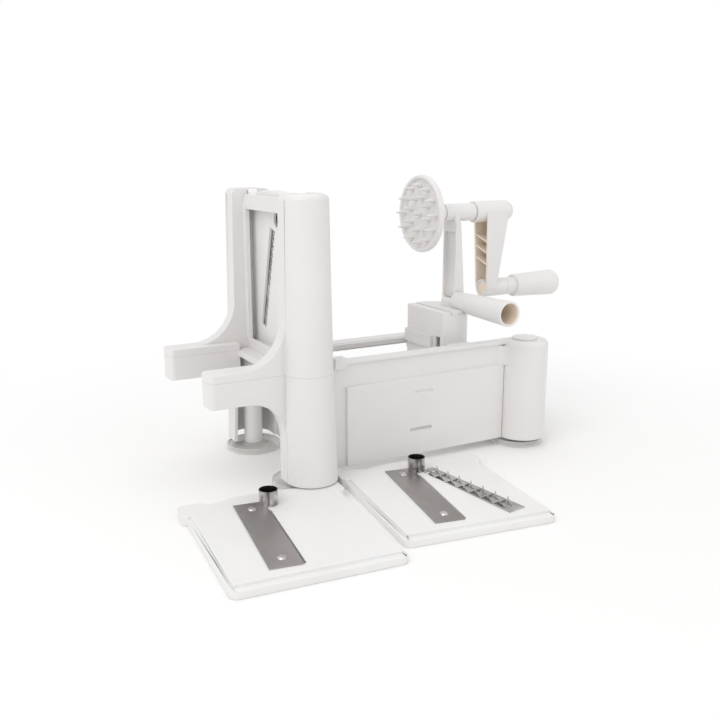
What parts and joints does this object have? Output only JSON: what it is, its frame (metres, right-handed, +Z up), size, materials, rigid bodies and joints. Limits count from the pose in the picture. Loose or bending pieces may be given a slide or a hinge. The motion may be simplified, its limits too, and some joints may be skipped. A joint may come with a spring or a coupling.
{
  "type": "hand cranked vegetable spiralizer",
  "caption": "Free-standing crank spiralizer: cutting tower with a seated blade cartridge, sliding carriage with spiked wheel, crank and push handle, and loose spare cartridges",
  "frame": {"origin": "middle of the footprint of the whole set, on the table", "axes": "+X from the cutting tower towards the crank, +Y away from the loose cartridges, +Z up"},
  "size_m": [0.3688, 0.2596, 0.2149],
  "materials": {
    "white_plastic": "satin moulded white",
    "cartridge_plastic": "smooth moulded white",
    "bearing_plastic": "plain natural plastic",
    "clear_plastic": "soft clear",
    "blade_steel": "brushed stainless",
    "rivet_steel": "peened",
    "zinc_steel": "bright zinc"
  },
  "bodies": {
    "base": {"front_base": "white_plastic", "tower_frame": "white_plastic", "side_panel_near": "white_plastic", "side_panel_far": "white_plastic", "rear_bridge": "white_plastic", "bridge_screws": "zinc_steel", "tower_screws": "zinc_steel", "suction_cup_front_near": "clear_plastic", "suction_cup_front_far": "clear_plastic", "suction_cup_rear_near": "clear_plastic", "suction_cup_rear_far": "clear_plastic", "foot_stem_front_near": "white_plastic", "foot_stem_front_far": "white_plastic", "foot_stem_rear_near": "white_plastic", "foot_stem_rear_far": "white_plastic", "rear_post_cap_near": "white_plastic", "rear_post_cap_far": "white_plastic"},
    "carriage": {"carriage_block": "white_plastic", "carriage_lid": "white_plastic", "carriage_clip": "white_plastic", "support_column": "white_plastic", "axle_bush": "bearing_plastic", "column_screws": "zinc_steel", "push_handle": "white_plastic"},
    "crank": {"pusher_wheel": "white_plastic", "crank_shaft": "zinc_steel", "crank_arm": "white_plastic", "grip_pin": "bearing_plastic"},
    "grip": {"crank_grip": "white_plastic"},
    "ribbon_cartridge": {"ribbon_plate": "cartridge_plastic", "ribbon_blade": "blade_steel", "ribbon_rivets": "rivet_steel"},
    "coarse_cartridge": {"coarse_plate": "cartridge_plastic", "coarse_blade": "blade_steel", "coarse_rivets": "rivet_steel", "coarse_teeth": "blade_steel"},
    "fine_cartridge": {"fine_plate": "cartridge_plastic", "fine_blade": "blade_steel", "fine_rivets": "rivet_steel", "fine_teeth": "blade_steel"}
  },
  "joints": [
    {"name": "carriage_slide", "type": "slide", "parent": "base", "child": "carriage", "axis": [1, 0, 0], "range_m": [-0.094, 0.02]},
    {"name": "crank_turn", "type": "hinge", "parent": "carriage", "child": "crank", "pos_m": [0.05043, 0.05509, 0.1851], "axis": [1, 0, 0], "continuous": true},
    {"name": "grip_spin", "type": "hinge", "parent": "crank", "child": "grip", "pos_m": [0.14053, 0.05509, 0.1221], "axis": [1, 0, 0], "continuous": true},
    {"name": "fine_cartridge_lift", "type": "slide", "parent": "base", "child": "fine_cartridge", "axis": [0, 0, 1], "range_m": [0, 0.13]},
    {"name": "ribbon_cartridge_pull", "type": "slide", "parent": "base", "child": "ribbon_cartridge", "axis": [-0.0889, -0.996, 0], "range_m": [0, 0.06]},
    {"name": "coarse_cartridge_lift", "type": "slide", "parent": "base", "child": "coarse_cartridge", "axis": [0, 0, 1], "range_m": [0, 0.06]}
  ]
}
